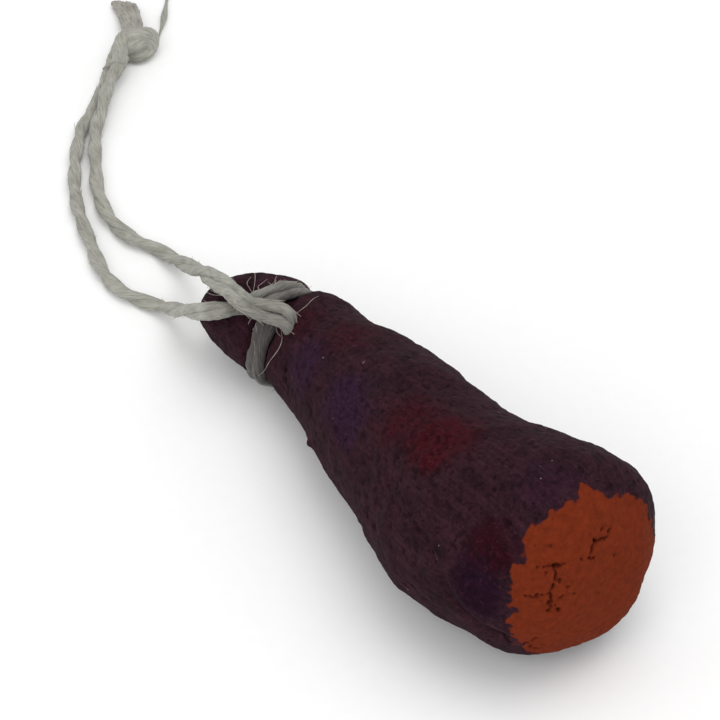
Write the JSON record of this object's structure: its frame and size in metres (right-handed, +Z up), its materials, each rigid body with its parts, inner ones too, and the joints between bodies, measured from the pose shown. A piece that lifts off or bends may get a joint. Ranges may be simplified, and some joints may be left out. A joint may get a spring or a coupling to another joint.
{
  "type": "miniature cured pork loin",
  "caption": "Small painted clay model of a cured pork loin, lying on its side, with a bare domed cut end and a loop of natural twine tied behind its rounded head.",
  "frame": {"origin": "centre of the base of the clay body's box, on the surface that it lies on", "axes": "+X along the loin towards its bare cut end, +Z up from the surface that it lies on"},
  "size_m": [0.0954, 0.0339, 0.0181],
  "materials": {
    "painted_clay": "matt maroon paint over terracotta, bare on the cut end",
    "twine": "natural undyed two-ply twine, dull and hairy"
  },
  "bodies": {
    "root": {"loin_body": "painted_clay", "neck_binding": "twine", "neck_knot": "twine", "upper_strand": "twine", "lower_strand": "twine", "end_knot": "twine", "frayed_tail": "twine", "thin_tail": "twine"}
  },
  "joints": []
}
